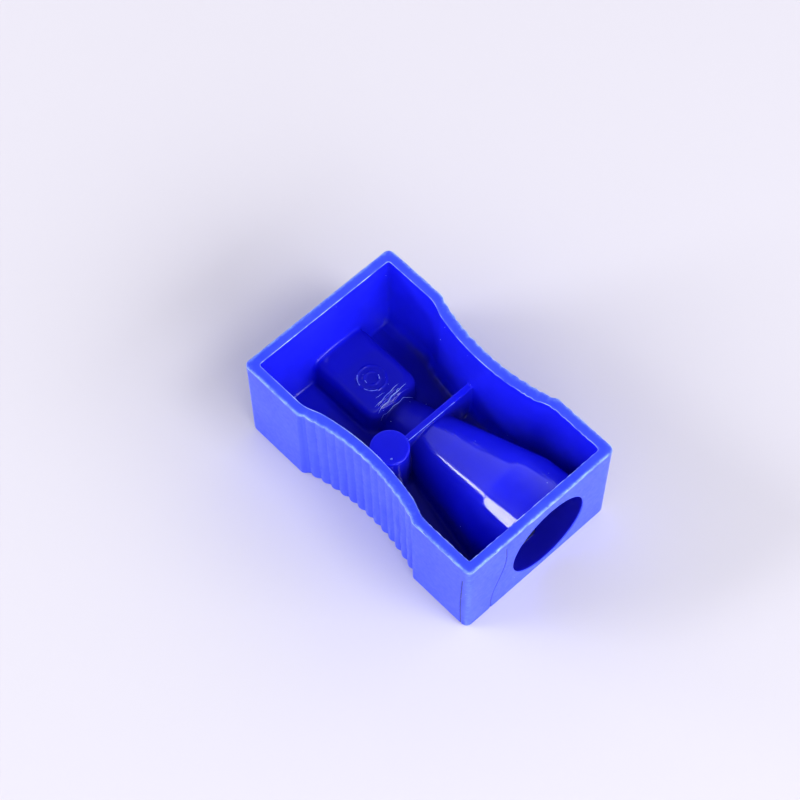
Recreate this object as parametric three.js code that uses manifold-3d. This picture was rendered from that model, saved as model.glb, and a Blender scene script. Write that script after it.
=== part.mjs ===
// One-hole hand-held prism pencil sharpener: a moulded plastic body, a steel blade and one screw.
// Millimetres. It lies on the deck that carries the blade, with its open hollow side up.
// Origin: middle of the deck's outer face. +X runs along the pencil hole to its mouth, +Z is up.
import * as THREE from "three";
import { mergeVertices } from "three/addons/utils/BufferGeometryUtils.js";
import Module from "manifold-3d";

const wasm = await Module();
wasm.setup();

// ---- Body: outside
const LENGTH = 26; // along X, at the rim
const WIDTH = 16.1; // along Y, at the rim
const HEIGHT = 10.35;
const OUTER_DRAFT = THREE.MathUtils.degToRad(0.8); // narrower at the deck
const CORNER_RADIUS = 0.55;
const BOTTOM_ROUND = 0.3; // edge round where the walls meet the deck
const ROUND_STEPS = 2;
const CORNER_STEPS = 4;

// Finger grip: each long side curves in between two shoulders and is fluted
const WAIST = 6.92; // half width in the middle of the grip, over the flute ridges
const WAIST_RADIUS = 21.5;
const GRIP_RECESS = 0.1; // how much further in the grip is at the deck
const GRIP_END = 6.35; // where the grip stops, from the middle
const SHOULDER_END = 6.7; // where the full width starts
const FLUTE_PITCH = 0.94;
const FLUTE_AT_RIM = 0.07; // depth of the flutes, which run out towards the rim
const FLUTE_AT_DECK = 0.2;
const STEPS_PER_FLUTE = 4;

// ---- Body: inside
const WALL = 0.85; // at the rim
const INNER_DRAFT = THREE.MathUtils.degToRad(1.5);
const INNER_CORNER = 0.3;
const INNER_WAIST = 5.98;
const INNER_WAIST_RADIUS = 22.9;
const INNER_GRIP_END = 5.6;
const INNER_SHOULDER_END = 7.6;
const BEND_TAIL = 0.5; // least length of the bend along the straight wall
const DECK = 1.5; // thickness of the deck
const FLOOR_FILLET = 0.9; // along the long walls
const FILLET_STEPS = 3;
const WAIST_STEPS = 16;
const BEND_STEPS = 4;
const INNER_CORNER_STEPS = 2;

// ---- Pencil hole, a cylinder and then a cone, tilted so that the cone's lowest line is level
const HOLE_Y = 1.04;
const HOLE_Z = 4.85; // centre of the mouth, in the end face
const HOLE_RADIUS = 3.9;
const TILT = THREE.MathUtils.degToRad(11.5); // of the axis, and the cone's half angle
const CONE_START = 8.9; // X on the axis where the cylinder turns into the cone
const CONE_TIP_RADIUS = 0.3;
const SHELL_WALL = 0.9; // plastic around the hole
const SHELL_END = -5.2; // the shell runs into the tip block
const HOLE_SEGMENTS = 48;
const SHELL_STEPS = 20; // over the half turn above the axis

// ---- Tip block, boss and rib, which stand on the deck
const BLOCK = { x0: -12.4, x1: -4.75, y0: -1.7, y1: 3.8, top: 4.35 };
const BLOCK_ROUND = 0.9;
const BLOCK_DRAFT = THREE.MathUtils.degToRad(2);
const SCREW_X = -1.1;
const SCREW_Y = -3.15;
const BOSS_RADIUS = 1.66;
const BOSS_TOP = 6.05;
const BOSS_ROUND = 0.15;
const BOSS_SEGMENTS = 36;
const RIB = { x: -1.05, thick: 0.6, top: 5.35, yEnd: 6.3 };

// ---- Blade, let into the deck and skewed so that its edge lies along the cone
const BLADE_LENGTH = 22.5;
const BLADE_WIDTH = 7.4;
const BLADE_THICK = 0.5;
const BLADE_SKEW = THREE.MathUtils.degToRad(3.5);
const BLADE_FACE = 0.05; // outer face below the deck's plane
const BLADE_MIDDLE = -0.75; // X of the middle of the cutting edge
const EDGE_Y = 1.53; // Y of the middle of the cutting edge
const BEVEL_WIDTH = 1.3;
const EDGE_LAND = 0.03; // thickness left at the cutting edge
const BLADE_CORNER = 0.35;
const BLADE_GAP = 0.1; // clearance round the blade in its recess
const CEILING_GAP = 0.03; // clearance between the blade and the recess's ceiling

// ---- Slot where the shavings come out, beside the cutting edge
const SLOT = { x0: -8.2, x1: 9.3, depth: 1.3, narrow: 0.55, wide: 2.0, slope: 0.5 };
const SLOT_UNDER = -0.5; // how far it runs under the blade, so that no sliver is left beside the edge

// ---- Countersunk screw with a slotted head
const HEAD_RADIUS = 2.15;
const HEAD_RIM = 0.12; // straight edge of the head
const HEAD_BEVEL = 0.06;
const HEAD_DEPTH = 1.15;
const CORE_RADIUS = 0.82;
const THREAD_RADIUS = 1.04;
const THREAD_PITCH = 0.8;
const SCREW_TIP = 4.9;
const THREAD_CREST = 0.6; // part of the pitch that the thread's V takes up
const POINT_LENGTH = 0.7;
const POINT_TAPER = 0.55; // how much of the core's radius the point loses
const SCREW_SLOT = { width: 0.5, depth: 0.6, angle: THREE.MathUtils.degToRad(35) };
const HEAD_SEGMENTS = 40;
const THREAD_SIDES = 20;
const STEPS_PER_PITCH = 6;
const BORE_RADIUS = 1.1;
const BORE_TOP = 5.15;
const SEAT_GAP = 0.08;

const MARGIN = 1; // how far a cutter runs past the face it cuts
const ROOT = DECK / 2; // height inside the deck from which the features on it rise

// ---------------------------------------------------------------- solids

function toSolid(geometry) {
  const bare = geometry.index ? geometry.toNonIndexed() : geometry.clone();
  bare.deleteAttribute("normal");
  bare.deleteAttribute("uv");
  const merged = mergeVertices(bare, 1e-4);
  const vertProperties = new Float32Array(merged.attributes.position.array);
  const triVerts = new Uint32Array(merged.index.array);
  return new wasm.Manifold(new wasm.Mesh({ numProp: 3, vertProperties, triVerts }));
}

function toGeometry(solid) {
  const mesh = solid.getMesh();
  const geometry = new THREE.BufferGeometry();
  geometry.setAttribute("position", new THREE.BufferAttribute(new Float32Array(mesh.vertProperties), 3));
  geometry.setIndex(new THREE.BufferAttribute(new Uint32Array(mesh.triVerts), 1));
  geometry.computeVertexNormals();
  return geometry;
}

// Moves every vertex of a geometry by place(x, y, z), which returns the new [x, y, z].
function moveVertices(geometry, place) {
  const position = geometry.attributes.position;
  for (let i = 0; i < position.count; i++) {
    position.setXYZ(i, ...place(position.getX(i), position.getY(i), position.getZ(i)));
  }
  return geometry;
}

function prism(outline, bottom, top) {
  const geometry = new THREE.ExtrudeGeometry(new THREE.Shape(outline), {
    depth: top - bottom,
    bevelEnabled: false,
  });
  return geometry.translate(0, 0, bottom);
}

// A prism whose outline shrinks level by level: each level holds a height and the inset there in X and Y.
// dent(x, y, height) is how far a point of the outline is first moved in, along Y.
function steppedPrism(outline, levels, halfLength, halfWidth, dent = () => 0) {
  const steps = levels.length - 1;
  const geometry = new THREE.ExtrudeGeometry(new THREE.Shape(outline), {
    depth: steps,
    steps,
    bevelEnabled: false,
  });
  return moveVertices(geometry, (x, y, z) => {
    const { height, insetX, insetY } = levels[Math.round(z)];
    const width = y - Math.sign(y) * dent(x, y, height);
    return [x * (1 - insetX / halfLength), width * (1 - insetY / halfWidth), height];
  });
}

function arcPoints(x, y, radius, from, to, steps) {
  const points = [];
  for (let i = 0; i <= steps; i++) {
    const angle = from + ((to - from) * i) / steps;
    points.push(new THREE.Vector2(x + radius * Math.cos(angle), y + radius * Math.sin(angle)));
  }
  return points;
}

// A rounded rectangle whose two long sides follow grip, a list of points from +X to -X on the +Y side.
function grippedOutline(halfLength, halfWidth, radius, cornerSteps, grip) {
  const cornerX = halfLength - radius;
  const cornerY = halfWidth - radius;
  const half = [
    ...arcPoints(cornerX, cornerY, radius, 0, Math.PI / 2, cornerSteps),
    ...grip,
    ...arcPoints(-cornerX, cornerY, radius, Math.PI / 2, Math.PI, cornerSteps),
  ];
  return [...half, ...half.map((p) => new THREE.Vector2(-p.x, -p.y))];
}

const waistLine = (x, waist, radius) => waist + radius - Math.sqrt(radius * radius - x * x);

// ---------------------------------------------------------------- body

// How far the fluted grip lies inside its smooth arc.
function fluteDent(x, height) {
  if (Math.abs(x) > GRIP_END) return 0;
  const part = 1 - height / HEIGHT;
  const depth = FLUTE_AT_RIM + (FLUTE_AT_DECK - FLUTE_AT_RIM) * part;
  return GRIP_RECESS * part + depth * (1 - Math.abs(Math.cos((Math.PI * x) / FLUTE_PITCH)));
}

function outerSolid() {
  const grip = [new THREE.Vector2(SHOULDER_END, WIDTH / 2)];
  const step = FLUTE_PITCH / STEPS_PER_FLUTE;
  const count = 2 * Math.round(GRIP_END / step);
  for (let i = 0; i <= count; i++) {
    const x = (count / 2 - i) * step;
    grip.push(new THREE.Vector2(x, waistLine(x, WAIST, WAIST_RADIUS)));
  }
  grip.push(new THREE.Vector2(-SHOULDER_END, WIDTH / 2));
  const outline = grippedOutline(LENGTH / 2, WIDTH / 2, CORNER_RADIUS, CORNER_STEPS, grip);
  const levels = [];
  for (let i = 0; i <= ROUND_STEPS; i++) {
    const angle = (Math.PI / 2) * (i / ROUND_STEPS);
    const height = BOTTOM_ROUND * (1 - Math.cos(angle));
    const inset = BOTTOM_ROUND * (1 - Math.sin(angle)) + (HEIGHT - height) * Math.tan(OUTER_DRAFT);
    levels.push({ height, insetX: inset, insetY: inset });
  }
  levels.push({ height: HEIGHT, insetX: 0, insetY: 0 });
  const dent = (x, y, height) => fluteDent(x, height);
  return toSolid(steppedPrism(outline, levels, LENGTH / 2, WIDTH / 2, dent));
}

function hollowSolid() {
  const halfLength = LENGTH / 2 - WALL;
  const halfWidth = WIDTH / 2 - WALL;
  const arc = [];
  for (let i = 0; i <= WAIST_STEPS; i++) {
    const x = INNER_GRIP_END * (1 - (2 * i) / WAIST_STEPS);
    arc.push(new THREE.Vector2(x, waistLine(x, INNER_WAIST, INNER_WAIST_RADIUS)));
  }
  // the bend leaves both the straight wall and the arc without a kink
  const reach = (halfWidth - arc[0].y) * (INNER_WAIST_RADIUS / INNER_GRIP_END);
  const bend = new THREE.QuadraticBezierCurve(
    new THREE.Vector2(INNER_SHOULDER_END, halfWidth),
    new THREE.Vector2(Math.min(INNER_GRIP_END + reach, INNER_SHOULDER_END - BEND_TAIL), halfWidth),
    arc[0],
  ).getPoints(BEND_STEPS);
  const lastBend = bend.map((p) => new THREE.Vector2(-p.x, p.y)).reverse();
  const grip = [...bend.slice(0, -1), ...arc, ...lastBend.slice(1)];
  const outline = grippedOutline(halfLength, halfWidth, INNER_CORNER, INNER_CORNER_STEPS, grip);
  const draftAt = (height) => (HEIGHT - height) * Math.tan(INNER_DRAFT);
  const levels = [];
  for (let i = 0; i <= FILLET_STEPS; i++) {
    const angle = (Math.PI / 2) * (i / FILLET_STEPS);
    const height = DECK + FLOOR_FILLET * (1 - Math.cos(angle));
    const insetX = draftAt(height);
    levels.push({ height, insetX, insetY: insetX + FLOOR_FILLET * (1 - Math.sin(angle)) });
  }
  const above = HEIGHT + MARGIN;
  levels.push({ height: above, insetX: draftAt(above), insetY: draftAt(above) });
  return toSolid(steppedPrism(outline, levels, halfLength, halfWidth));
}

const axisHeight = (x) => HOLE_Z - (LENGTH / 2 - x) * Math.tan(TILT);

// The shell round the hole: round above the axis, with flanks that run straight down to the deck.
function shellSolid() {
  const stations = [
    { x: SHELL_END, radius: HOLE_RADIUS + SHELL_WALL - (CONE_START - SHELL_END) * Math.tan(TILT) },
    { x: CONE_START, radius: HOLE_RADIUS + SHELL_WALL },
    { x: LENGTH / 2 - WALL / 2, radius: HOLE_RADIUS + SHELL_WALL },
  ];
  const foot = -2; // stands for the deck in the unit section
  const section = arcPoints(0, 0, 1, 0, Math.PI, SHELL_STEPS);
  section.push(new THREE.Vector2(-1, foot), new THREE.Vector2(1, foot));
  const geometry = new THREE.ExtrudeGeometry(new THREE.Shape(section), {
    depth: stations.length - 1,
    steps: stations.length - 1,
    bevelEnabled: false,
  });
  moveVertices(geometry, (u, v, w) => {
    const { x, radius } = stations[Math.round(w)];
    const z = v === foot ? ROOT : axisHeight(x) + (v * radius) / Math.cos(TILT);
    return [x, HOLE_Y + u * radius, Math.max(z, ROOT)];
  });
  return toSolid(geometry);
}

// The hollow that the pencil goes into: cone and cylinder about the tilted axis.
function pencilSolid() {
  const coneLength = HOLE_RADIUS / Math.tan(TILT);
  const tip = CONE_TIP_RADIUS / Math.tan(TILT);
  const end = coneLength + (LENGTH / 2 - CONE_START) / Math.cos(TILT) + HOLE_RADIUS;
  const profile = [
    new THREE.Vector2(0, tip),
    new THREE.Vector2(CONE_TIP_RADIUS, tip),
    new THREE.Vector2(HOLE_RADIUS, coneLength),
    new THREE.Vector2(HOLE_RADIUS, end),
    new THREE.Vector2(0, end),
  ];
  const geometry = new THREE.LatheGeometry(profile, HOLE_SEGMENTS);
  geometry.rotateZ(TILT - Math.PI / 2); // the lathe's own Y axis now points along X, and up by the tilt
  geometry.rotateX(Math.PI / 2); // and now in the XZ plane
  geometry.translate(
    CONE_START - coneLength * Math.cos(TILT),
    HOLE_Y,
    axisHeight(CONE_START) - coneLength * Math.sin(TILT),
  );
  return toSolid(geometry);
}

function blockSolid() {
  const halfLength = (BLOCK.x1 - BLOCK.x0) / 2;
  const halfWidth = (BLOCK.y1 - BLOCK.y0) / 2;
  const outline = grippedOutline(halfLength, halfWidth, BLOCK_ROUND, CORNER_STEPS, []);
  const levels = [];
  const spread = (height) => -(BLOCK.top - height) * Math.tan(BLOCK_DRAFT);
  levels.push({ height: ROOT, insetX: spread(ROOT), insetY: spread(ROOT) });
  for (let i = 0; i <= FILLET_STEPS; i++) {
    const angle = (Math.PI / 2) * (i / FILLET_STEPS);
    const height = BLOCK.top - BLOCK_ROUND * (1 - Math.sin(angle));
    const inset = BLOCK_ROUND * (1 - Math.cos(angle)) + spread(height);
    levels.push({ height, insetX: inset, insetY: inset });
  }
  const geometry = steppedPrism(outline, levels, halfLength, halfWidth);
  return toSolid(geometry.translate((BLOCK.x0 + BLOCK.x1) / 2, (BLOCK.y0 + BLOCK.y1) / 2, 0));
}

// A lathe about the screw's axis from a list of [radius, height] pairs.
function turned(pairs, segments) {
  const geometry = new THREE.LatheGeometry(pairs.map(([r, h]) => new THREE.Vector2(r, h)), segments);
  geometry.rotateX(Math.PI / 2); // takes the lathe's own Y axis to +Z
  return geometry.translate(SCREW_X, SCREW_Y, 0);
}

function bossSolid() {
  const spread = (BOSS_TOP - ROOT) * Math.tan(OUTER_DRAFT);
  const halfway = BOSS_ROUND * (1 - Math.SQRT1_2); // inset in the middle of the edge round
  const profile = [
    [0, ROOT],
    [BOSS_RADIUS + spread, ROOT],
    [BOSS_RADIUS, BOSS_TOP - BOSS_ROUND],
    [BOSS_RADIUS - halfway, BOSS_TOP - halfway],
    [BOSS_RADIUS - BOSS_ROUND, BOSS_TOP],
    [0, BOSS_TOP],
  ];
  return toSolid(turned(profile, BOSS_SEGMENTS));
}

function ribSolid() {
  const box = new THREE.BoxGeometry(RIB.thick, RIB.yEnd - SCREW_Y, RIB.top - ROOT);
  return toSolid(box.translate(RIB.x, (RIB.yEnd + SCREW_Y) / 2, (RIB.top + ROOT) / 2));
}

// The blade's outline with a gap round it, before the skew: X along the edge, the edge at Y = 0.
function bladeOutline(gap) {
  const end = BLADE_LENGTH / 2 + gap;
  const back = -BLADE_WIDTH - gap;
  const corner = BLADE_CORNER;
  return [
    new THREE.Vector2(end, gap),
    new THREE.Vector2(-end, gap),
    new THREE.Vector2(-end, back + corner),
    new THREE.Vector2(-end + corner, back),
    new THREE.Vector2(end - corner, back),
    new THREE.Vector2(end, back + corner),
  ];
}

function skewed(geometry) {
  return geometry.rotateZ(BLADE_SKEW).translate(BLADE_MIDDLE, EDGE_Y, 0);
}

function recessSolid() {
  return toSolid(skewed(prism(bladeOutline(BLADE_GAP), -MARGIN, BLADE_FACE + BLADE_THICK + CEILING_GAP)));
}

// The way out for the shavings: it starts at the cutting edge and its far wall leans outwards.
function slotSolid() {
  const x0 = SLOT.x0 - BLADE_MIDDLE;
  const x1 = SLOT.x1 - BLADE_MIDDLE;
  const outline = [
    new THREE.Vector2(x0, SLOT_UNDER),
    new THREE.Vector2(x1, SLOT_UNDER),
    new THREE.Vector2(x1, SLOT.wide),
    new THREE.Vector2(x0, SLOT.narrow),
  ];
  const geometry = prism(outline, -MARGIN, SLOT.depth);
  moveVertices(geometry, (x, y, z) => [x, y > 0 ? y + (SLOT.depth - z) * SLOT.slope : y, z]);
  return toSolid(skewed(geometry));
}

// The radius at a height of the conical seat that the screw's head sits in.
function seatRadius(height) {
  const slope = (HEAD_RADIUS - CORE_RADIUS) / (HEAD_DEPTH - HEAD_RIM);
  return HEAD_RADIUS + SEAT_GAP + (BLADE_FACE + HEAD_RIM - height) * slope;
}

// The screw's clearance in the plastic: a conical seat and a blind bore.
function boreSolid() {
  const neck = BLADE_FACE + HEAD_DEPTH - HEAD_RIM;
  const profile = [
    [0, -MARGIN],
    [seatRadius(-MARGIN), -MARGIN],
    [seatRadius(neck), neck],
    [BORE_RADIUS, neck],
    [BORE_RADIUS, BORE_TOP],
    [0, BORE_TOP],
  ];
  return toSolid(turned(profile, HEAD_SEGMENTS));
}

function bodySolid() {
  const outer = outerSolid();
  const standing = shellSolid().add(blockSolid()).add(bossSolid()).add(ribSolid()).intersect(outer);
  return outer
    .subtract(hollowSolid())
    .add(standing)
    .subtract(pencilSolid())
    .subtract(recessSolid())
    .subtract(slotSolid())
    .subtract(boreSolid());
}

// ---------------------------------------------------------------- blade and screw

function bladeSolid() {
  const inner = BLADE_FACE + BLADE_THICK;
  const plate = toSolid(skewed(prism(bladeOutline(0), BLADE_FACE, inner)));
  const section = [
    new THREE.Vector2(MARGIN, inner - EDGE_LAND),
    new THREE.Vector2(0, inner - EDGE_LAND),
    new THREE.Vector2(-BEVEL_WIDTH, BLADE_FACE),
    new THREE.Vector2(-BEVEL_WIDTH, -MARGIN),
    new THREE.Vector2(MARGIN, -MARGIN),
  ];
  const bevel = prism(section, -BLADE_LENGTH / 2 - MARGIN, BLADE_LENGTH / 2 + MARGIN);
  moveVertices(bevel, (x, y, z) => [z, x, y]); // the section's own X and Y become Y and Z
  const seat = [
    [0, -MARGIN],
    [seatRadius(-MARGIN), -MARGIN],
    [seatRadius(inner + CEILING_GAP), inner + CEILING_GAP],
    [0, inner + CEILING_GAP],
  ];
  return plate.subtract(toSolid(skewed(bevel))).subtract(toSolid(turned(seat, HEAD_SEGMENTS)));
}

function screwSolid() {
  const face = BLADE_FACE;
  const neck = face + HEAD_DEPTH;
  const head = [
    [0, face],
    [HEAD_RADIUS - HEAD_BEVEL, face],
    [HEAD_RADIUS, face + HEAD_BEVEL],
    [HEAD_RADIUS, face + HEAD_RIM],
    [CORE_RADIUS, neck],
    [CORE_RADIUS, neck + HEAD_BEVEL],
    [0, neck + HEAD_BEVEL],
  ];
  const length = SCREW_TIP - neck;
  const steps = Math.round((length / THREAD_PITCH) * STEPS_PER_PITCH);
  const shank = new THREE.CylinderGeometry(CORE_RADIUS, CORE_RADIUS, length, THREAD_SIDES, steps);
  shank.rotateX(Math.PI / 2);
  shank.translate(0, 0, neck + length / 2);
  moveVertices(shank, (x, y, z) => {
    const radius = Math.hypot(x, y);
    if (radius < CORE_RADIUS / 2) return [SCREW_X, SCREW_Y, z];
    const turn = z / THREAD_PITCH - Math.atan2(y, x) / (2 * Math.PI);
    const wave = Math.abs(turn - Math.round(turn)) * 2; // 0 on the crest, 1 in the root
    const rise = (THREAD_RADIUS - CORE_RADIUS) * Math.max(0, 1 - wave / THREAD_CREST);
    const point = THREE.MathUtils.clamp((SCREW_TIP - z) / POINT_LENGTH, 0, 1);
    const start = THREE.MathUtils.clamp((z - neck) / (THREAD_PITCH / 2), 0, 1);
    const wanted = CORE_RADIUS * (1 - POINT_TAPER * (1 - point)) + rise * point * start;
    return [SCREW_X + (x / radius) * wanted, SCREW_Y + (y / radius) * wanted, z];
  });
  const slot = new THREE.BoxGeometry(2 * (HEAD_RADIUS + MARGIN), SCREW_SLOT.width, SCREW_SLOT.depth + MARGIN);
  slot.rotateZ(SCREW_SLOT.angle);
  slot.translate(SCREW_X, SCREW_Y, face + (SCREW_SLOT.depth - MARGIN) / 2);
  return toSolid(turned(head, HEAD_SEGMENTS)).add(toSolid(shank)).subtract(toSolid(slot));
}

// ---------------------------------------------------------------- the assembly

function makeMesh(name, solid, material) {
  const mesh = new THREE.Mesh(toGeometry(solid), new THREE.MeshStandardMaterial(material));
  mesh.name = name;
  return mesh;
}

const sharpener = new THREE.Group();
sharpener.add(
  makeMesh("body", bodySolid(), { color: 0x1626e0, roughness: 0.28, metalness: 0 }),
  makeMesh("blade", bladeSolid(), { color: 0xb9bfc4, roughness: 0.25, metalness: 1 }),
  makeMesh("screw", screwSolid(), { color: 0xc9c6bd, roughness: 0.32, metalness: 1 }),
);

export default sharpener;
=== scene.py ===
"""A one-hole prism pencil sharpener of blue plastic, lying on a pale floor with its hollow side up.

The body's surface is written as one formula, a signed field in millimetres with rounded joins between its
features. A copy of the CAD body is remeshed finely and its points are moved onto that field.
"""
import math

import bmesh
import bpy
import numpy as np
from mathutils import Matrix, Vector


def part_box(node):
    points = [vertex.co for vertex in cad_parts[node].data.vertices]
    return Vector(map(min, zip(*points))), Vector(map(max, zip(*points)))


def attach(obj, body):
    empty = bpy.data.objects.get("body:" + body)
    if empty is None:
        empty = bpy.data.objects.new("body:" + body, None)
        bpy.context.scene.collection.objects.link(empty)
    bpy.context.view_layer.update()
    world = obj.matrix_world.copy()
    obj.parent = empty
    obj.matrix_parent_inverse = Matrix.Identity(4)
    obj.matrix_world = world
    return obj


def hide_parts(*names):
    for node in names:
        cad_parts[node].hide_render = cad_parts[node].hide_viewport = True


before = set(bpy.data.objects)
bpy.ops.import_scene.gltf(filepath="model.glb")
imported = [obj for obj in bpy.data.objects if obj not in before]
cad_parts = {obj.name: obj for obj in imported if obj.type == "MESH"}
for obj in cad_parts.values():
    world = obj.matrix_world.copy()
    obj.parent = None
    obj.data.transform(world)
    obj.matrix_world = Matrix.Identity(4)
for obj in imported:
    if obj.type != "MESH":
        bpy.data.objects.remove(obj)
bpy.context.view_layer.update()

SEED = 7
MM = 0.001

# ---------------------------------------------------------------- dimensions in millimetres, as in the CAD
low, high = (np.array(corner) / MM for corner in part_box("body"))
LENGTH, WIDTH, HEIGHT = high - low
OUTER_DRAFT = math.tan(math.radians(0.8))
INNER_DRAFT = math.tan(math.radians(1.5))
BLOCK_DRAFT = math.tan(math.radians(2))
WALL = 0.85
DECK = 1.5
WAIST, WAIST_RADIUS, GRIP_RECESS = 6.92, 21.5, 0.1
GRIP_END, SHOULDER_END = 6.35, 6.7
FLUTE_PITCH, FLUTE_AT_RIM, FLUTE_AT_DECK = 0.94, 0.07, 0.2
INNER_WAIST, INNER_WAIST_RADIUS = 5.98, 22.9
INNER_GRIP_END, INNER_SHOULDER_END = 5.2, 7.8
HOLE_Y, HOLE_Z, HOLE_RADIUS = 1.04, 4.85, 3.9
TILT = math.radians(11.5)
CONE_START = 8.9
CONE_TIP_RADIUS = 0.3
SHELL_WALL = 0.9
SHELL_END = -5.2
BLOCK_LOW, BLOCK_HIGH, BLOCK_TOP = (-12.4, -1.7), (-4.75, 3.8), 4.35
SCREW = (-1.1, -3.15)
BOSS_RADIUS, BOSS_TOP = 1.66, 6.05
RIB_X, RIB_HALF, RIB_TOP = -1.05, 0.3, 5.35
BLADE_LENGTH, BLADE_WIDTH, BLADE_THICK, BLADE_FACE = 22.5, 7.4, 0.5, 0.05
BLADE_SKEW = math.radians(3.5)
BLADE_MIDDLE, EDGE_Y = -0.75, 1.53
BLADE_GAP, CEILING_GAP = 0.1, 0.03
SLOT_START, SLOT_END, SLOT_DEPTH, SLOT_SLOPE = -8.2, 9.3, 1.3, 0.5
SLOT_NARROW, SLOT_WIDE, SLOT_UNDER = 0.55, 2.0, -0.5
HEAD_RADIUS, HEAD_RIM, HEAD_DEPTH = 2.15, 0.12, 1.15
CORE_RADIUS, SEAT_GAP = 0.82, 0.08
BORE_RADIUS, BORE_TOP = 1.1, 5.15

# Radii of the rounded edges and of the fillets where one feature joins another
CORNER_RADIUS, BOTTOM_ROUND, RIM_OUTER_ROUND, RIM_INNER_ROUND = 0.55, 0.3, 0.13, 0.1
FLOOR_FILLET, INNER_CORNER = 0.9, 0.25
SHELL_BEND, SHELL_ROUND, SHELL_FILLET = 0.06, 0.1, 0.3
FEATURE_ROUND = 0.1  # where a feature would pass through the outer walls
BLOCK_CORNER, BLOCK_ROUND, BLOCK_FILLET = 1.1, 0.9, 0.25
BOSS_ROUND, BOSS_FILLET = 0.15, 0.12
RIB_ROUND, RIB_END_ROUND, RIB_FILLET = 0.14, 0.1, 0.15
HOLE_BEND, HOLE_ROUND = 0.2, 0.1
RECESS_CORNER, SLOT_CORNER, UNDERSIDE_ROUND, TOOL_ROUND = 0.3, 0.25, 0.07, 0.05

# Small marks
RING_X, RING_Y, RING_RADII = -7.5, 0.85, (1.22, 0.62)
KNIT_WIDTH, KNIT_DEPTH = 0.065, 0.05
# Widths of the painted highlight along the rim's outer edge and along the upright corners
EDGE_HIGHLIGHT_WIDTH, CORNER_HIGHLIGHT_WIDTH = 0.17, 0.3

ROUND = 1.17  # width of a smooth join for each millimetre of fillet radius
VOXEL = 0.1
FACES_KEPT = 78_000
EDGE_STEP, LINE_STEP = 0.2, 0.08  # longest edge of the mesh at its rims, and at its fine lines


# ---------------------------------------------------------------- the body as a field
def join(a, b, radius):
    """The union of two fields, with a fillet."""
    width = ROUND * radius
    near = np.maximum(width - np.abs(a - b), 0) / width
    return np.minimum(a, b) - near * near * width / 4


def both(a, b, radius):
    """The space inside both fields, with a rounded edge."""
    return -join(-a, -b, radius)


def cut(a, b, radius):
    """The first field without the second, with a rounded edge."""
    return both(a, -b, radius)


def waist_line(x, waist, radius):
    return waist + radius - np.sqrt(radius**2 - np.clip(np.abs(x), 0, radius * 0.9) ** 2)


def ramp(x, start, end):
    t = np.clip((x - start) / (end - start), 0, 1)
    return t * t * (3 - 2 * t)


def outer_half_width(x, z):
    part = 1 - z / HEIGHT
    depth = FLUTE_AT_RIM + (FLUTE_AT_DECK - FLUTE_AT_RIM) * part
    ridge = np.abs(np.cos(np.pi * x / FLUTE_PITCH))
    grip = waist_line(x, WAIST, WAIST_RADIUS) - GRIP_RECESS * part - depth * (1 - ridge)
    wide = np.clip((np.abs(x) - GRIP_END) / (SHOULDER_END - GRIP_END), 0, 1)
    return grip * (1 - wide) + WIDTH / 2 * wide


def outside(x, y, z):
    inset = (HEIGHT - z) * OUTER_DRAFT
    ends = np.abs(x) - LENGTH / 2 + inset
    sides = np.abs(y) - outer_half_width(x, z) * (1 - inset / (WIDTH / 2))
    walls = both(ends, sides, CORNER_RADIUS)
    return both(both(walls, -z, BOTTOM_ROUND), z - HEIGHT, RIM_OUTER_ROUND)


def hollow(x, y, z):
    inset = (HEIGHT - z) * INNER_DRAFT
    straight = WIDTH / 2 - WALL
    grip = waist_line(x, INNER_WAIST, INNER_WAIST_RADIUS)
    half = grip + (straight - grip) * ramp(np.abs(x), INNER_GRIP_END, INNER_SHOULDER_END)
    ends = np.abs(x) - LENGTH / 2 + WALL + inset
    sides = np.abs(y) - half * (1 - inset / straight)
    return both(both(sides, DECK - z, FLOOR_FILLET), ends, INNER_CORNER)


def along_hole(x, y, z):
    """Distance along the hole's axis from where the cone starts, then sideways and up from the axis."""
    rise = z - (HOLE_Z - (LENGTH / 2 - CONE_START) * math.tan(TILT))
    run = x - CONE_START
    return (
        run * math.cos(TILT) + rise * math.sin(TILT),
        y - HOLE_Y,
        rise * math.cos(TILT) - run * math.sin(TILT),
    )


def shell(x, y, z):
    s, side, up = along_hole(x, y, z)
    across = np.sqrt(side**2 + np.maximum(up, 0) ** 2)
    radius = HOLE_RADIUS + SHELL_WALL
    cone = (across - radius - s * math.tan(TILT)) * math.cos(TILT)
    body = both(cone, across - radius, SHELL_BEND)
    return both(both(body, SHELL_END - x, SHELL_ROUND), x - LENGTH / 2 + WALL / 2, SHELL_ROUND)


def pencil(x, y, z):
    s, side, up = along_hole(x, y, z)
    across = np.sqrt(side**2 + up**2)
    cone = (across - HOLE_RADIUS - s * math.tan(TILT)) * math.cos(TILT)
    tip = -HOLE_RADIUS / math.tan(TILT) + CONE_TIP_RADIUS / math.tan(TILT)
    return both(both(cone, across - HOLE_RADIUS, HOLE_BEND), tip - s, TOOL_ROUND)


def block(x, y, z):
    wider = (BLOCK_TOP - z) * BLOCK_DRAFT
    centre = [(a + b) / 2 for a, b in zip(BLOCK_LOW, BLOCK_HIGH)]
    half = [(b - a) / 2 for a, b in zip(BLOCK_LOW, BLOCK_HIGH)]
    ends = np.abs(x - centre[0]) - half[0] - wider
    sides = np.abs(y - centre[1]) - half[1] - wider
    return both(both(ends, sides, BLOCK_CORNER), z - BLOCK_TOP, BLOCK_ROUND)


def boss(x, y, z):
    across = np.hypot(x - SCREW[0], y - SCREW[1])
    wall = across - BOSS_RADIUS - (BOSS_TOP - z) * OUTER_DRAFT
    return both(wall, z - BOSS_TOP, BOSS_ROUND)


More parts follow.
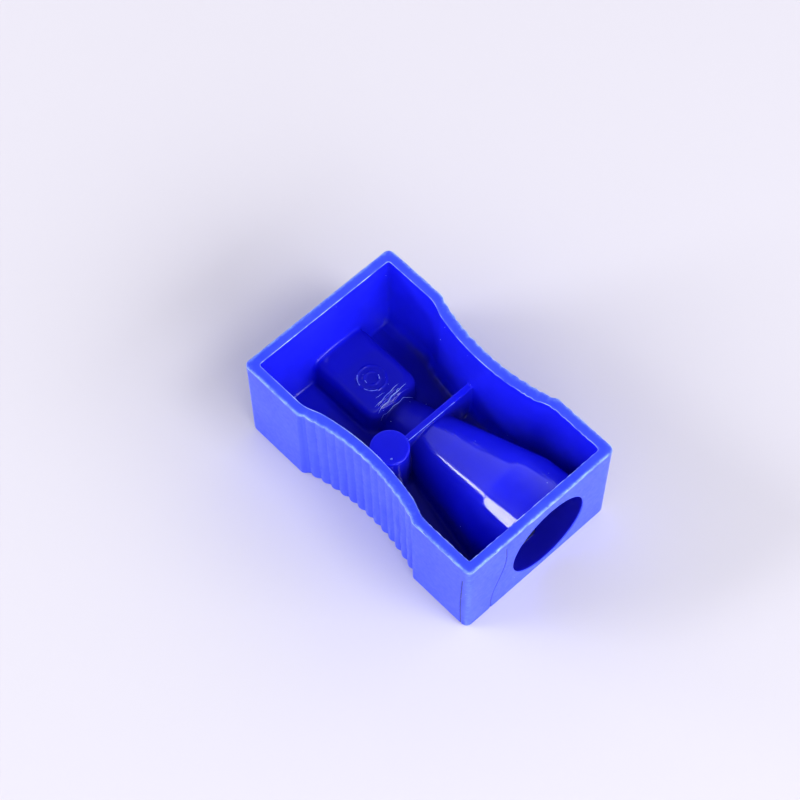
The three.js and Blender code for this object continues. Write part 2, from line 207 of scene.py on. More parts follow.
def rib(x, y, z):
    wall = np.abs(x - RIB_X) - RIB_HALF - (RIB_TOP - z) * OUTER_DRAFT
    return both(both(wall, z - RIB_TOP, RIB_ROUND), SCREW[1] - y, RIB_END_ROUND)


def on_blade(x, y):
    """Position along the cutting edge from its middle, and across it, positive on the shavings' side."""
    c, s = math.cos(BLADE_SKEW), math.sin(BLADE_SKEW)
    return (x - BLADE_MIDDLE) * c + (y - EDGE_Y) * s, (y - EDGE_Y) * c - (x - BLADE_MIDDLE) * s


def recess(x, y, z):
    u, v = on_blade(x, y)
    ends = np.abs(u) - BLADE_LENGTH / 2 - BLADE_GAP
    sides = np.abs(v + BLADE_WIDTH / 2) - BLADE_WIDTH / 2 - BLADE_GAP
    plan = both(ends, sides, RECESS_CORNER)
    return both(plan, z - BLADE_FACE - BLADE_THICK - CEILING_GAP, TOOL_ROUND)


def slot(x, y, z):
    u, v = on_blade(x, y)
    start, end = SLOT_START - BLADE_MIDDLE, SLOT_END - BLADE_MIDDLE
    part = (u - start) / (end - start)
    far = SLOT_NARROW + (SLOT_WIDE - SLOT_NARROW) * part + (SLOT_DEPTH - z) * SLOT_SLOPE
    plan = both(np.maximum(start - u, u - end), np.maximum(v - far, SLOT_UNDER - v), SLOT_CORNER)
    return both(plan, z - SLOT_DEPTH, HOLE_ROUND)


def bore(x, y, z):
    across = np.hypot(x - SCREW[0], y - SCREW[1])
    slope = (HEAD_RADIUS - CORE_RADIUS) / (HEAD_DEPTH - HEAD_RIM)
    seat = across - (HEAD_RADIUS + SEAT_GAP + (BLADE_FACE + HEAD_RIM - z) * slope)
    seat = both(seat / math.hypot(1, slope), z - (BLADE_FACE + HEAD_DEPTH - HEAD_RIM), TOOL_ROUND)
    return join(seat, both(across - BORE_RADIUS, z - BORE_TOP, TOOL_ROUND), TOOL_ROUND)


def marks(x, y, z):
    """How far the surface stands proud in the small marks that the mould leaves on the block: two rings, and
    wavy streaks across the end towards the cone."""
    top = ramp(z, BLOCK_TOP - 0.35, BLOCK_TOP - 0.1)
    across = np.hypot(x - RING_X, y - RING_Y)
    rings = 0
    for radius, height in zip(RING_RADII, (0.08, 0.075)):
        rings = rings + height * np.exp(-(((across - radius) / 0.1) ** 2))
    streaks = 0
    streak_height, streak_width = 0.05, 0.07
    for place, start, end in ((-5.42, -0.7, 1.9), (-5.12, -0.9, 2.5), (-4.86, -0.5, 2.9), (-4.66, 0.3, 2.3)):
        wavy = x - place - 0.07 * np.sin(2.3 * y + 9 * place)
        within = ramp(y, start, start + 0.4) * (1 - ramp(y, end - 0.6, end))
        streaks = streaks + streak_height * np.exp(-((wavy / streak_width) ** 2)) * within
    return rings * top + streaks * ramp(z, 2.5, 3.2) * (z < BLOCK_TOP + 0.3)


def knit_distance(x, y, z):
    """Distance from the two fine lines where the melt met itself, beside one upright corner."""
    end_line = -4.45 + 0.16 * (z - 5) + 0.3 * np.sin(0.75 * (z - 4.4))
    on_end = np.hypot(y - end_line, np.maximum(LENGTH / 2 - 0.3 - x, 0) + np.maximum(z - 9.2, 0))
    side_line = LENGTH / 2 - 0.82 - 0.09 * np.sin(0.5 * z)
    on_side = np.hypot(x - side_line, np.maximum(WIDTH / 2 - 0.3 + y, 0) + np.maximum(z - 8.2, 0))
    return np.minimum(on_end, on_side)


def knit_lines(x, y, z):
    """Nearness, from 0 to 1, to the knit lines."""
    return np.exp(-((knit_distance(x, y, z) / KNIT_WIDTH) ** 2))


def painted_shade(x, y, z):
    """Nearness, from 0 to 1, to the low parts of the hollow, more than a millimetre in from the outer skin,
    and to
    the inside of the pencil hole: where painted shade darkens the blue."""
    low = ramp(-outside(x, y, z), 1.05, 1.6) * (1 - ramp(z, 3, 6.2))
    in_hole = 1 - ramp(np.abs(pencil(x, y, z)), 0.02, 0.15)
    return np.maximum(low, 0.9 * in_hole)


def on_outside(x, y, z):
    """1 on the outer faces and the rim, 0 on every face inside."""
    return ramp(outside(x, y, z), -0.14, -0.03)


def edge_distances(x, y, z):
    """Distances from the rim's outer edge and from the upright outer corners."""
    inset = (HEIGHT - z) * OUTER_DRAFT
    ends = LENGTH / 2 - inset - np.abs(x)
    sides = outer_half_width(x, z) * (1 - inset / (WIDTH / 2)) - np.abs(y)
    return np.hypot(np.minimum(ends, sides), z - HEIGHT), np.hypot(ends, sides)


def on_edge(x, y, z):
    """Nearness, from 0 to 1, to the outer edges of the rim and the upright corners, where a painted highlight
    goes.
    """
    rim, corner = edge_distances(x, y, z)
    at_rim = 1.05 * np.exp(-((rim / EDGE_HIGHLIGHT_WIDTH) ** 2))
    at_corner = 0.5 * np.exp(-((corner / CORNER_HIGHLIGHT_WIDTH) ** 2))
    return np.clip(at_rim + at_corner, 0, 1)


def widest_triangle(x, y, z):
    """How long an edge of the mesh may be at a place, so that the fine marks there come out."""
    rim, corner = edge_distances(x, y, z)
    mouth = np.abs(pencil(x, y, z)) + np.maximum(LENGTH / 2 - 0.4 - x, 0)
    inner = np.abs(hollow(x, y, z)) + np.abs(z - HEIGHT)
    near_edge = np.minimum.reduce([rim, corner, mouth, inner])
    near_line = knit_distance(x, y, z)
    return np.minimum(np.maximum(EDGE_STEP, 1.2 * near_edge), np.maximum(LINE_STEP, 1.2 * near_line))


def body_field(x, y, z):
    """The whole moulding: below 0 inside the plastic and above 0 outside it."""
    skin = outside(x, y, z)
    shape = cut(skin, hollow(x, y, z), RIM_INNER_ROUND)
    features = ((shell, SHELL_FILLET), (block, BLOCK_FILLET), (boss, BOSS_FILLET), (rib, RIB_FILLET))
    for feature, fillet in features:
        shape = join(shape, both(feature(x, y, z), skin, FEATURE_ROUND), fillet)
    shape = shape - marks(x, y, z) + KNIT_DEPTH * knit_lines(x, y, z)
    shape = cut(shape, pencil(x, y, z), HOLE_ROUND)
    for tool in (recess, slot, bore):
        shape = cut(shape, tool(x, y, z), UNDERSIDE_ROUND)
    return shape


def gradient(points):
    step = 0.01
    parts = []
    for axis in range(3):
        shift = np.zeros(3)
        shift[axis] = step
        parts.append(body_field(*(points + shift).T) - body_field(*(points - shift).T))
    return np.stack(parts, axis=1) / (2 * step)


def settle(points, rounds, reach):
    """Moves points onto the field's surface, none of them further than reach in all."""
    start = points.copy()
    for _ in range(rounds):
        slope = gradient(points)
        steep = np.maximum((slope**2).sum(1), 0.25)
        points = points - slope * (body_field(*points.T) / steep)[:, None]
        moved = points - start
        far = np.linalg.norm(moved, axis=1)
        points = start + moved * np.minimum(1, reach / np.maximum(far, 1e-9))[:, None]
    return points


# ---------------------------------------------------------------- mesh helpers
def read_points(mesh):
    flat = np.empty(len(mesh.vertices) * 3, np.float32)
    mesh.vertices.foreach_get("co", flat)
    return flat.reshape(-1, 3).astype(np.float64)


def write_points(mesh, points):
    mesh.vertices.foreach_set("co", points.astype(np.float32).ravel())
    mesh.update()


def apply_modifiers(obj):
    evaluated = obj.evaluated_get(bpy.context.evaluated_depsgraph_get())
    mesh = bpy.data.meshes.new_from_object(evaluated)
    obj.modifiers.clear()
    obj.data = mesh


def copy_in_mm(node, name):
    """A new object with a CAD node's mesh, one unit to the millimetre."""
    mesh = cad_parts[node].data.copy()
    mesh.name = name
    mesh.transform(Matrix.Scale(1 / MM, 4))
    mesh.materials.clear()
    obj = bpy.data.objects.new(name, mesh)
    bpy.context.scene.collection.objects.link(obj)
    return obj


def refine(mesh):
    """Splits the edges of a mesh, in mm, that are longer than widest_triangle says."""
    builder = bmesh.new()
    builder.from_mesh(mesh)
    bmesh.ops.triangulate(builder, faces=builder.faces)
    for _ in range(10):
        builder.verts.index_update()
        places = np.array([v.co for v in builder.verts])
        edges = list(builder.edges)
        ends = np.array([(e.verts[0].index, e.verts[1].index) for e in edges])
        first, last = places[ends[:, 0]], places[ends[:, 1]]
        length = np.linalg.norm(last - first, axis=1)
        long = np.flatnonzero(length > widest_triangle(*((first + last) / 2).T))
        if len(long) == 0:
            break
        bmesh.ops.subdivide_edges(builder, edges=[edges[i] for i in long], cuts=1)
        bmesh.ops.triangulate(builder, faces=[f for f in builder.faces if len(f.verts) > 3])
    builder.to_mesh(mesh)
    builder.free()


def make_body():
    """The moulded body, which stands for the CAD body, and its points and normals in mm."""
    obj = copy_in_mm("body", "moulded_body")
    remesh = obj.modifiers.new("remesh", "REMESH")
    remesh.mode = "VOXEL"
    remesh.voxel_size = VOXEL
    apply_modifiers(obj)
    write_points(obj.data, settle(read_points(obj.data), 3, 0.35))
    thin = obj.modifiers.new("thin", "DECIMATE")
    faces = sum(len(p.vertices) - 2 for p in obj.data.polygons)
    thin.ratio = min(1, FACES_KEPT / faces)
    apply_modifiers(obj)
    mesh = obj.data
    refine(mesh)
    points = settle(read_points(mesh), 4, 0.05)
    write_points(mesh, points)
    normals = gradient(points)
    normals /= np.linalg.norm(normals, axis=1)[:, None]
    mesh.polygons.foreach_set("use_smooth", [True] * len(mesh.polygons))
    for name, field in (("knit", knit_lines), ("painted_shade", painted_shade), ("outer", on_outside), ("edge", on_edge)):
        layer = mesh.attributes.new(name, "FLOAT", "POINT")
        layer.data.foreach_set("value", field(*points.T).astype(np.float32))
    mesh.transform(Matrix.Scale(MM, 4))
    mesh.normals_split_custom_set_from_vertices(normals.tolist())
    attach(obj, "body")
    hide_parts("body")
    return obj, points, normals


def rim_line(field, level, steps):
    """A closed line at one level round the outside or the hollow, as arrays of X and Y."""
    angle = np.arange(steps) * 2 * np.pi / steps
    near, far = np.zeros(steps), np.full(steps, LENGTH)
    for _ in range(30):  # bisection along rays from the middle
        middle = (near + far) / 2
        inside = field(middle * np.cos(angle), middle * np.sin(angle), np.full(steps, level)) < 0
        near, far = np.where(inside, middle, near), np.where(inside, far, middle)
    return near * np.cos(angle), near * np.sin(angle)


def surface_height(x, y, top):
    """The height at which a line coming straight down from top first meets the body."""
    x, y = np.asarray(x, float), np.asarray(y, float)
    z = np.full(x.shape, float(top))
    for _ in range(60):
        z = z - np.maximum(body_field(x, y, z), 0) * 0.7
    return z


def spaced(line, spacing):
    """A closed line's points, set out again at an even spacing."""
    line = np.vstack([line, line[:1]])
    run = np.concatenate([[0], np.cumsum(np.linalg.norm(np.diff(line, axis=0), axis=1))])
    count = max(3, int(run[-1] / spacing))
    at = np.linspace(0, run[-1], count, endpoint=False)
    return np.stack([np.interp(at, run, line[:, axis]) for axis in range(3)], axis=1)


def unevenness(rng, count, waves):
    """A smooth random line round 0, between -1 and 1."""
    at = np.arange(count) / count
    total = sum(rng.uniform(0.5, 1) * np.sin(2 * np.pi * (w * at + rng.random())) for w in waves)
    return total / np.abs(total).max()


def thread_mesh(points, thick, closed):
    """Vertices and faces, in mm, of a thread of plastic along a line, thick at each of its points."""
    sides = 6
    count = len(points)
    ahead = np.roll(points, -1, axis=0) - np.roll(points, 1, axis=0)
    if not closed:
        ahead[0], ahead[-1] = points[1] - points[0], points[-1] - points[-2]
    ahead /= np.linalg.norm(ahead, axis=1)[:, None]
    side = np.cross(ahead, (0, 0, 1.0))
    side /= np.linalg.norm(side, axis=1)[:, None]
    up = np.cross(side, ahead)
    vertices, faces = [], []
    for i in range(count):
        for k in range(sides):
            angle = 2 * math.pi * k / sides
            vertices.append(points[i] + thick[i] * (side[i] * math.cos(angle) + up[i] * math.sin(angle)))
    for i in range(count if closed else count - 1):
        here, there = i * sides, (i + 1) % count * sides
        for k in range(sides):
            after = (k + 1) % sides
            faces.append((here + k, here + after, there + after, there + k))
    if not closed:
        faces.append(tuple(range(sides))[::-1])
        faces.append(tuple((count - 1) * sides + k for k in range(sides)))
    return vertices, faces


def make_threads(name, threads):
    """One object from several threads, each of them points, thicknesses and whether it is closed."""
    vertices, faces = [], []
    for points, thick, closed in threads:
        first = len(vertices)
        more, round_them = thread_mesh(points, thick, closed)
        vertices += more
        faces += [tuple(first + v for v in face) for face in round_them]
    mesh = bpy.data.meshes.new(name)
    mesh.from_pydata([tuple(v * MM) for v in vertices], [], faces)
    mesh.polygons.foreach_set("use_smooth", [True] * len(mesh.polygons))
    obj = bpy.data.objects.new(name, mesh)
    bpy.context.scene.collection.objects.link(obj)
    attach(obj, "body")
    return obj


def make_flash(name, field, radius, sunk, whole_until):
    """The fine, uneven line of plastic that the mould's parting leaves round the rim. It is whole on the
    tip's side of whole_until, and broken into dots beyond, where it dips under the surface."""
    rng = np.random.default_rng(SEED)
    x, y = rim_line(field, HEIGHT - 0.4, 1400)
    line = spaced(np.stack([x, y, np.full(x.shape, HEIGHT)], axis=1), 0.1)
    count = len(line)
    swell = unevenness(rng, count, (5, 11, 23, 47, 83, 131, 197))
    broken = ramp(unevenness(rng, count, (31, 59, 97, 139)), -0.1, 0.15)
    gap = ramp(line[:, 0], whole_until, whole_until + 2) * broken
    line[:, 2] -= sunk + 2.5 * radius * gap
    return make_threads(name, [(line, radius * (1 + 0.35 * swell), True)])


# Scratches over the block's end: where each starts and ends, and its radius
STROKES = (
    ((-5.36, -0.8), (-5.63, 2.07), 0.035),
    ((-4.94, -0.85), (-5.31, 2.68), 0.04),
    ((-4.71, -0.73), (-4.62, 2.93), 0.03),
    ((-5.15, 0.6), (-5.3, 1.9), 0.03),
    ((-5.9, -0.2), (-5.8, 0.7), 0.02),
)
# Bright stretches of the block's rings, and the gate's dot on the boss: centre, radius of the arc, the angles
# where it starts and ends, and its thickness
ARCS = (
    ((RING_X, RING_Y), RING_RADII[0], (215, 262), 0.035),
    ((RING_X, RING_Y), RING_RADII[0], (285, 340), 0.03),
    ((RING_X, RING_Y), RING_RADII[1], (40, 75), 0.035),
    ((RING_X, RING_Y), RING_RADII[1], (250, 275), 0.03),
    ((-0.2, -3.8), 0.05, (0, 300), 0.05),
)
ABOVE_BLOCK, ABOVE_BOSS, ABOVE_RIB = BLOCK_TOP + 0.5, BOSS_TOP + 0.3, RIB_TOP + 0.3


def stroke(rng, start, end, radius):
    """A slightly wandering scratch, thickest in its middle, as X, Y, thickness and a height above it."""
    count = 30
    part = np.linspace(0, 1, count)
    x = start[0] + (end[0] - start[0]) * part + 0.05 * unevenness(rng, count, (1, 2, 3))
    y = start[1] + (end[1] - start[1]) * part
    return x, y, radius * np.sqrt(np.maximum(np.sin(np.pi * part), 0.01)), ABOVE_BLOCK


def arc(rng, centre, radius, angles, thick):
    """A stretch of a circle, in the same form."""
    count = 24
    angle = np.radians(np.linspace(*angles, count))
    x, y = centre[0] + radius * np.cos(angle), centre[1] + radius * np.sin(angle)
    swell = 1 + 0.5 * unevenness(rng, count, (1, 2, 3))
    return x, y, thick * swell, ABOVE_BOSS if centre[1] < 0 else ABOVE_BLOCK


def rib_burr(rng):
    """The burr along the rib's top edge, in the same form."""
    count = 60
    part = np.linspace(0, 1, count)
    x = RIB_X + RIB_HALF - 0.03 + 0 * part
    return x, -1.35 + 5.2 * part, 0.03 * (1 + 0.3 * unevenness(rng, count, (3, 7, 13))), ABOVE_RIB


def make_scuffs():
    """Scratches and small burrs that stand up from the block, the boss and the rib."""
    rng = np.random.default_rng(SEED + 1)
    lines = [stroke(rng, *values) for values in STROKES]
    lines += [arc(rng, *values) for values in ARCS]
    lines.append(rib_burr(rng))
    return make_threads(
        "scuffs",
        [(np.stack([x, y, surface_height(x, y, top)], axis=1), thick, False) for x, y, thick, top in lines],
    )


def make_specks(points, normals):
    """Tiny specks of plastic dust that cling to the moulding, on its inner and outer walls."""
    rng = np.random.default_rng(SEED)
    inside = (points[:, 2] > 2) & (points[:, 2] < HEIGHT - 0.4)
    candidates = np.flatnonzero(inside & (hollow(*points.T) < 0.15) | inside & (outside(*points.T) > -0.05))
    mesh = bpy.data.meshes.new("plastic_specks")
    builder = bmesh.new()
    for index in rng.choice(candidates, 90, replace=False):
        radius = rng.uniform(0.018, 0.05)
        shape = Matrix.Diagonal((1, rng.uniform(0.6, 1), rng.uniform(0.5, 0.8), 1))
        turn = Vector(normals[index]).to_track_quat("Z", "Y").to_matrix().to_4x4()
        spin = Matrix.Rotation(rng.uniform(0, math.pi), 4, "Z")
        place = Matrix.Translation(Vector(points[index] * MM))
        matrix = place @ turn @ spin @ Matrix.Scale(radius * MM, 4) @ shape
        bmesh.ops.create_icosphere(builder, subdivisions=2, radius=1, matrix=matrix)
    builder.to_mesh(mesh)
    builder.free()
    mesh.polygons.foreach_set("use_smooth", [True] * len(mesh.polygons))
    obj = bpy.data.objects.new("plastic_specks", mesh)
    bpy.context.scene.collection.objects.link(obj)
    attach(obj, "body")
    return obj


# ---------------------------------------------------------------- materials
# Base colours, in pairs where a noise mixes them, and the lowest and highest roughness of each surface
THIN_BLUES = (0.019, 0.024, 0.77), (0.024, 0.031, 0.87)
# Painted reflection: the outer blues on the next line are paler, in place of the bright room reflected in the
# outer walls.
OUTER_SHEEN_BLUES = (0.050, 0.092, 0.76), (0.064, 0.112, 0.86)
# Partly whitened plastic and partly a painted glint: the pale blues on the next line.
WHITENED_GLINT_BLUES = (0.08, 0.15, 0.9), (0.5, 0.65, 1.0)
# Painted highlight: the last blue on the next line pales the rim's outer edges and the upright corners.
# Painted shade: the first blue on the next line darkens the low parts of the hollow and the pencil hole.
PAINTED_SHADE_BLUE, KNIT_BLUE, EDGE_HIGHLIGHT_BLUE = (0.013, 0.012, 0.43), (0.009, 0.014, 0.24), (0.36, 0.55, 1.0)
ROLLED_STEELS = (0.42, 0.43, 0.45), (0.56, 0.56, 0.56)
GROUND_STEELS = (0.66, 0.67, 0.68), (0.74, 0.74, 0.73)
ZINCS = (0.56, 0.53, 0.47), (0.70, 0.68, 0.62)
POLISHED, HANDLED, TORN = (0.05, 0.11), (0.30, 0.44), (0.32, 0.5)
BLADE_ROUGH, ZINC_ROUGH = (0.29, 0.42), (0.29, 0.4)
BEVEL_WIDTH, BEVEL_BLEND = 1.3, 0.04  # of the blade, and half the width over which its two finishes meet


def add_node(tree, kind, **values):
    """A new shader node. values set its properties, or its inputs by name where it has no such
    property."""
    node = tree.nodes.new(kind)
    for name, value in values.items():
        label = name.replace("_", " ").title()
        if hasattr(node, name):
            setattr(node, name, value)
        else:
            node.inputs[label].default_value = value
    return node


def noise(tree, scale, detail, roughness=0.5):
    """A noise over the object's own coordinates, in cycles to the metre."""
    place = add_node(tree, "ShaderNodeTexCoord")
    node = add_node(tree, "ShaderNodeTexNoise", scale=scale, detail=detail, roughness=roughness)
    tree.links.new(place.outputs["Object"], node.inputs["Vector"])
    return node.outputs["Fac"]


def spread(tree, value, low, high):
    """Maps a socket from the middle of a noise's range onto low to high."""
    node = add_node(tree, "ShaderNodeMapRange")
    node.inputs["From Min"].default_value = 0.3
    node.inputs["From Max"].default_value = 0.7
    node.inputs["To Min"].default_value = low
    node.inputs["To Max"].default_value = high
    tree.links.new(value, node.inputs["Value"])
    return node.outputs["Result"]


def mix_colours(tree, factor, first, second):
    """Mixes two colours by a factor. Each of the three is a socket or a value."""
    node = add_node(tree, "ShaderNodeMix", data_type="RGBA")
    for socket, value in ((node.inputs[0], factor), (node.inputs[6], first), (node.inputs[7], second)):
        if isinstance(value, bpy.types.NodeSocket):
            tree.links.new(value, socket)
        else:
            socket.default_value = value if isinstance(value, float) else (*value, 1)
    return node.outputs[2]


def attribute(tree, name):
    return add_node(tree, "ShaderNodeAttribute", attribute_name=name).outputs["Fac"]


def plastic():
    """Blue plastic that lets light into its thin walls: glossy from polished steel inside the hollow and
    darker there with painted shade low down and in the pencil hole, duller where it has been handled outside
    and paler there with a painted reflection, with dark knit lines, and a painted highlight along its outer
    edges."""
    material = bpy.data.materials.new("blue_plastic")
    material.use_nodes = True
    tree = material.node_tree
    shader = tree.nodes["Principled BSDF"]
    shader.inputs["IOR"].default_value = 1.52
    shader.inputs["Subsurface Weight"].default_value = 1.0
    shader.inputs["Subsurface Radius"].default_value = (0.2, 0.25, 1.0)
    shader.inputs["Subsurface Scale"].default_value = 0.8 * MM
    flow = spread(tree, noise(tree, 260, 3), 0.0, 1.0)
    thin = mix_colours(tree, flow, *THIN_BLUES)
    # Painted shade: a darker blue low in the hollow and inside the pencil hole.
    inner = mix_colours(tree, attribute(tree, "painted_shade"), thin, PAINTED_SHADE_BLUE)
    # Painted reflection: a paler blue on the outer faces and the rim.
    outer = mix_colours(tree, flow, *OUTER_SHEEN_BLUES)
    skin = mix_colours(tree, attribute(tree, "outer"), inner, outer)
    lined = mix_colours(tree, attribute(tree, "knit"), skin, KNIT_BLUE)
    # Painted highlight: a pale blue along the rim's outer edges and the corners, broken up by noise.
    edge_highlight = add_node(tree, "ShaderNodeMath", operation="MULTIPLY")
    tree.links.new(attribute(tree, "edge"), edge_highlight.inputs[0])
    tree.links.new(spread(tree, noise(tree, 1900, 4, 0.7), 0.0, 1.0), edge_highlight.inputs[1])
    colour = mix_colours(tree, edge_highlight.outputs[0], lined, EDGE_HIGHLIGHT_BLUE)
    tree.links.new(colour, shader.inputs["Base Color"])
    grain = noise(tree, 2600, 4, 0.6)
    dull = add_node(tree, "ShaderNodeMix", data_type="FLOAT")
    tree.links.new(attribute(tree, "outer"), dull.inputs[0])
    tree.links.new(spread(tree, grain, *POLISHED), dull.inputs[2])
    tree.links.new(spread(tree, grain, *HANDLED), dull.inputs[3])
    tree.links.new(dull.outputs[0], shader.inputs["Roughness"])
    add_bump(tree, shader, noise(tree, 1500, 3), 0.12, 0.012 * MM)
    return material


def whitened_glint_plastic():
    """The same plastic, pale: partly whitened where it is torn thin, partly a painted glint."""
    material = bpy.data.materials.new("whitened_glint_plastic")
    material.use_nodes = True
    tree = material.node_tree
    shader = tree.nodes["Principled BSDF"]
    patchy = spread(tree, noise(tree, 900, 3), 0.0, 1.0)
    # Pale colour: partly torn, whitened plastic, partly a painted glint.
    colour = mix_colours(tree, patchy, *WHITENED_GLINT_BLUES)
    tree.links.new(colour, shader.inputs["Base Color"])
    tree.links.new(spread(tree, noise(tree, 4000, 2), *TORN), shader.inputs["Roughness"])
    return material


def placed(tree, rotation=0.0, place=(0, 0, 0), scale=(1, 1, 1)):
    """Object coordinates measured from a place, turned about Z and then scaled."""
    coordinates = add_node(tree, "ShaderNodeTexCoord")
    move = add_node(tree, "ShaderNodeVectorMath", operation="SUBTRACT")
    move.inputs[1].default_value = place
    turn = add_node(tree, "ShaderNodeVectorRotate", rotation_type="Z_AXIS")
    turn.inputs["Angle"].default_value = -rotation
    stretch = add_node(tree, "ShaderNodeVectorMath", operation="MULTIPLY")
    stretch.inputs[1].default_value = scale
    tree.links.new(coordinates.outputs["Object"], move.inputs[0])
    tree.links.new(move.outputs[0], turn.inputs["Vector"])
    tree.links.new(turn.outputs["Vector"], stretch.inputs[0])
    return stretch.outputs[0]


def noise_at(tree, vector, scale, detail):
    node = add_node(tree, "ShaderNodeTexNoise", scale=scale, detail=detail)
    tree.links.new(vector, node.inputs["Vector"])
    return node.outputs["Fac"]


def metal(name):
    material = bpy.data.materials.new(name)
    material.use_nodes = True
    tree = material.node_tree
    shader = tree.nodes["Principled BSDF"]
    shader.inputs["Metallic"].default_value = 1.0
    return material, tree, shader


def add_bump(tree, shader, height, strength, depth):
    bump = add_node(tree, "ShaderNodeBump", strength=strength)
    bump.inputs["Distance"].default_value = depth
    tree.links.new(height, bump.inputs["Height"])
    tree.links.new(bump.outputs["Normal"], shader.inputs["Normal"])


def blade_steel():
    """Hardened strip steel: rolled marks along the blade, grinding marks across its bevel, faint stains."""
    material, tree, shader = metal("blade_steel")
    corner = (BLADE_MIDDLE * MM, EDGE_Y * MM, 0)
    across_edge = add_node(tree, "ShaderNodeSeparateXYZ")
    tree.links.new(placed(tree, BLADE_SKEW, corner), across_edge.inputs[0])
    bevel = add_node(tree, "ShaderNodeMapRange", interpolation_type="SMOOTHSTEP")
    bevel.inputs["From Min"].default_value = -(BEVEL_WIDTH + BEVEL_BLEND) * MM
    bevel.inputs["From Max"].default_value = -(BEVEL_WIDTH - BEVEL_BLEND) * MM
    tree.links.new(across_edge.outputs["Y"], bevel.inputs["Value"])
    rolled = noise_at(tree, placed(tree, BLADE_SKEW, corner, (0.03, 1, 1)), 9000, 3)
    ground = noise_at(tree, placed(tree, BLADE_SKEW, corner, (1, 0.04, 0.04)), 12000, 2)
    marks_height = add_node(tree, "ShaderNodeMix", data_type="FLOAT")
    for socket, source in zip((0, 2, 3), (bevel.outputs[0], rolled, ground)):
        tree.links.new(source, marks_height.inputs[socket])
    stains = spread(tree, noise_at(tree, placed(tree), 420, 5), 0.0, 1.0)
    face = mix_colours(tree, stains, *ROLLED_STEELS)
    bright = mix_colours(tree, stains, *GROUND_STEELS)
    tree.links.new(mix_colours(tree, bevel.outputs[0], face, bright), shader.inputs["Base Color"])
    tree.links.new(spread(tree, marks_height.outputs[0], *BLADE_ROUGH), shader.inputs["Roughness"])
    add_bump(tree, shader, marks_height.outputs[0], 0.16, 0.004 * MM)
    return material


def screw_steel():
    """Zinc-plated steel: turning marks round the axis and a faintly mottled, yellowish plating."""
    material, tree, shader = metal("screw_steel")
    from_axis = placed(tree, 0.0, (SCREW[0] * MM, SCREW[1] * MM, 0), (1, 1, 0))
    radius = add_node(tree, "ShaderNodeVectorMath", operation="LENGTH")
    tree.links.new(from_axis, radius.inputs[0])
    rings = add_node(tree, "ShaderNodeTexNoise", noise_dimensions="1D", scale=14000, detail=2)
    tree.links.new(radius.outputs["Value"], rings.inputs["W"])
    mottle = spread(tree, noise_at(tree, placed(tree), 1800, 4), 0.0, 1.0)
    colour = mix_colours(tree, mottle, *ZINCS)
    tree.links.new(colour, shader.inputs["Base Color"])
    tree.links.new(spread(tree, mottle, *ZINC_ROUGH), shader.inputs["Roughness"])
    add_bump(tree, shader, rings.outputs["Fac"], 0.2, 0.006 * MM)
    return material


def set_material(obj, material):
    obj.data.materials.clear()
    obj.data.materials.append(material)


# ---------------------------------------------------------------- stage, light and camera
FLOOR_REACH, FLOOR_COLOUR = 0.6, (0.70, 0.68, 0.745, 1)  # reach from the middle, in metres
CAMERA_ELEVATION, CAMERA_AZIMUTH = math.radians(60.60), math.radians(46.475)
CAMERA_PLACE = Vector((73.64, -72.99, 195.34)) * MM
CAMERA_LENS = 119.74
LIGHT_DISTANCE = 0.6
WALL_LIGHT, CEILING_LIGHT = 1.5, 0.12
TOWARDS_RIGHT, TOWARDS_BACK = 0.35, 0.05  # how much brighter the studio is on those sides
# The studio's brightness from straight down, 0, over the horizon, 0.5, to straight up, 1
STUDIO = (
    (0.0, 0.4),
    (0.5, 0.6),
    (0.53, WALL_LIGHT),
    (0.66, WALL_LIGHT),
    (0.82, WALL_LIGHT * 0.6),
    (0.92, CEILING_LIGHT),
    (1.0, CEILING_LIGHT),
)
# Name, direction from the object, direction of the first side, angles that the sides take up, and radiance
LIGHTS = (
    ("window", (-0.57, -0.72, 0.40), (-0.312, 0.708, 0.632), (30, 10), 15),
    ("low_window", (-0.85, -0.42, 0.31), (-0.52, 0.56, -0.65), (22, 4), 13),
    ("right_window", (0.55, 0.15, 0.82), (0, 1, 0), (16, 14), 8),
    ("right_fill", (0.85, 0.05, 0.42), (0, 1, 0), (70, 26), 4.2),
)


def make_floor():
    mesh = bpy.data.meshes.new("floor")
    corners = [(x * FLOOR_REACH, y * FLOOR_REACH, 0) for x, y in ((-1, -1), (1, -1), (1, 1), (-1, 1))]
    mesh.from_pydata(corners, [], [(0, 1, 2, 3)])
    floor = bpy.data.objects.new("floor", mesh)
    bpy.context.scene.collection.objects.link(floor)
    material = bpy.data.materials.new("pale_floor")
    material.use_nodes = True
    shader = material.node_tree.nodes["Principled BSDF"]
    shader.inputs["Base Color"].default_value = FLOOR_COLOUR
    shader.inputs["Roughness"].default_value = 0.9
    mesh.materials.append(material)


def make_camera():
    level = math.cos(CAMERA_ELEVATION)
    back = Vector(
        (math.sin(CAMERA_AZIMUTH) * level, -math.cos(CAMERA_AZIMUTH) * level, math.sin(CAMERA_ELEVATION))
    )
    right = Vector((math.cos(CAMERA_AZIMUTH), math.sin(CAMERA_AZIMUTH), 0))
    up = back.cross(right)
    data = bpy.data.cameras.new("camera")
    data.sensor_width = 36
    data.lens = CAMERA_LENS
    data.clip_start = 0.01
    camera = bpy.data.objects.new("camera", data)
    bpy.context.scene.collection.objects.link(camera)
    turn = Matrix((right, up, back)).transposed().to_4x4()
    camera.matrix_world = Matrix.Translation(CAMERA_PLACE) @ turn
    bpy.context.scene.camera = camera


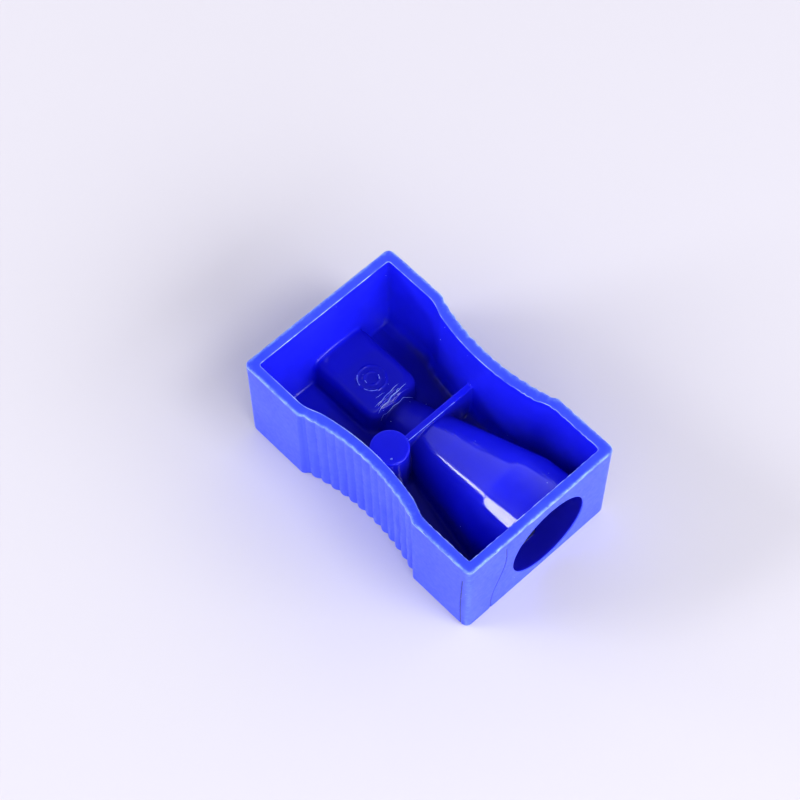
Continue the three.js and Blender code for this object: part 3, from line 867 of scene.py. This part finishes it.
def add_area(name, direction, along, size, radiance):
    """A rectangular light at a direction from the object, facing it. size is its angles, in degrees, first in
    the direction called along."""
    towards = Vector(direction).normalized()
    across = Vector(along).cross(towards).normalized()
    first = towards.cross(across)
    data = bpy.data.lights.new(name, "AREA")
    data.shape = "RECTANGLE"
    data.size, data.size_y = (2 * LIGHT_DISTANCE * math.tan(math.radians(angle) / 2) for angle in size)
    data.energy = radiance * math.pi * data.size * data.size_y
    light = bpy.data.objects.new(name, data)
    bpy.context.scene.collection.objects.link(light)
    turn = Matrix((first, towards.cross(first), towards)).transposed().to_4x4()
    light.matrix_world = Matrix.Translation(towards * LIGHT_DISTANCE) @ turn


def times_plus(tree, value, factor, more):
    """value * factor + more, where more is a socket or a number."""
    node = add_node(tree, "ShaderNodeMath", operation="MULTIPLY_ADD")
    tree.links.new(value, node.inputs[0])
    node.inputs[1].default_value = factor
    if isinstance(more, bpy.types.NodeSocket):
        tree.links.new(more, node.inputs[2])
    else:
        node.inputs[2].default_value = more
    return node.outputs[0]


def make_light():
    """A studio with bright walls and a dark ceiling, windows on the left and soft light on the right."""
    world = bpy.data.worlds.new("studio")
    bpy.context.scene.world = world
    world.use_nodes = True
    tree = world.node_tree
    split = add_node(tree, "ShaderNodeSeparateXYZ")
    tree.links.new(add_node(tree, "ShaderNodeTexCoord").outputs["Generated"], split.inputs[0])
    by_height = add_node(tree, "ShaderNodeValToRGB")
    elements = by_height.color_ramp.elements
    while len(elements) < len(STUDIO):
        elements.new(0.5)
    for element, (position, value) in zip(elements, STUDIO):
        element.position = position
        element.color = (value * 0.97, value * 0.97, value, 1)
    tree.links.new(times_plus(tree, split.outputs["Z"], 0.5, 0.5), by_height.inputs[0])
    strength = times_plus(tree, split.outputs["X"], TOWARDS_RIGHT, 1.0)
    strength = times_plus(tree, split.outputs["Y"], TOWARDS_BACK, strength)
    background = tree.nodes["Background"]
    tree.links.new(by_height.outputs[0], background.inputs["Color"])
    tree.links.new(strength, background.inputs["Strength"])
    for light in LIGHTS:
        add_area(*light)
    view = bpy.context.scene.view_settings
    view.view_transform = "Standard"
    view.gamma = 0.87


make_camera()
make_light()
make_floor()
body, surface_points, surface_normals = make_body()
set_material(body, plastic())
# The flash, scuffs and specks take a pale colour that is partly whitened plastic and partly a painted glint.
whitened_glint = whitened_glint_plastic()
for piece in (
    make_flash("rim_flash_inner", hollow, 0.034, 0.05, 0),
    make_flash("rim_flash_outer", outside, 0.03, 0.09, -9),
    make_scuffs(),
    make_specks(surface_points, surface_normals),
):
    set_material(piece, whitened_glint)
set_material(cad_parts["blade"], blade_steel())
set_material(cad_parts["screw"], screw_steel())
